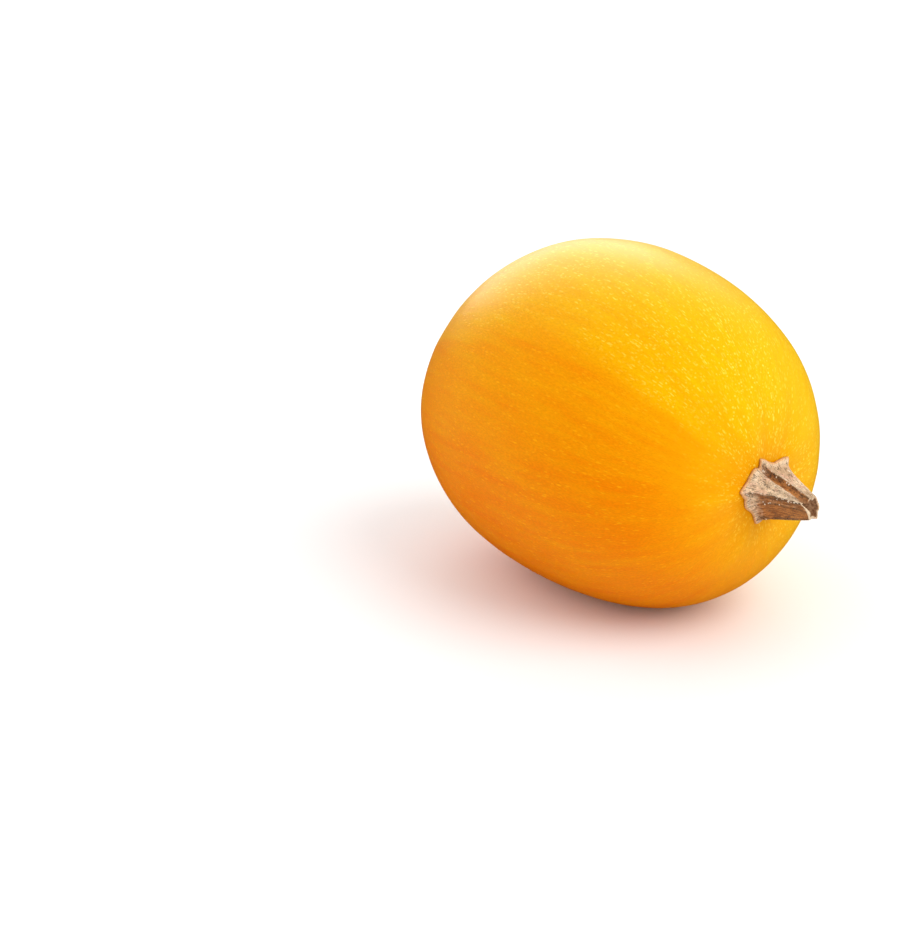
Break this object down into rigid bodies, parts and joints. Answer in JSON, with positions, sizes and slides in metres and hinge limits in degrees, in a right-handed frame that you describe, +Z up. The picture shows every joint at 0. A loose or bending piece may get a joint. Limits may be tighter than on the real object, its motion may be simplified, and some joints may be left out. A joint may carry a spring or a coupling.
{
  "type": "spaghetti squash",
  "caption": "Whole spaghetti squash lying on its side: a smooth, rounded, deep yellow winter squash with a ridged, dry, woody stem, resting on a small flat spot.",
  "frame": {"origin": "centre of the small flat spot underneath, which the squash rests on", "axes": "+X along the squash's length towards the stem, +Z up, +Y completes a right-handed frame"},
  "size_m": [0.2356, 0.172, 0.1706],
  "materials": {
    "rind": null,
    "dry_stem": "dry corky stem, matte, beige ridges with brown grooves and small grey specks"
  },
  "bodies": {
    "root": {"squash_body": "rind", "stem": "dry_stem"}
  },
  "joints": []
}
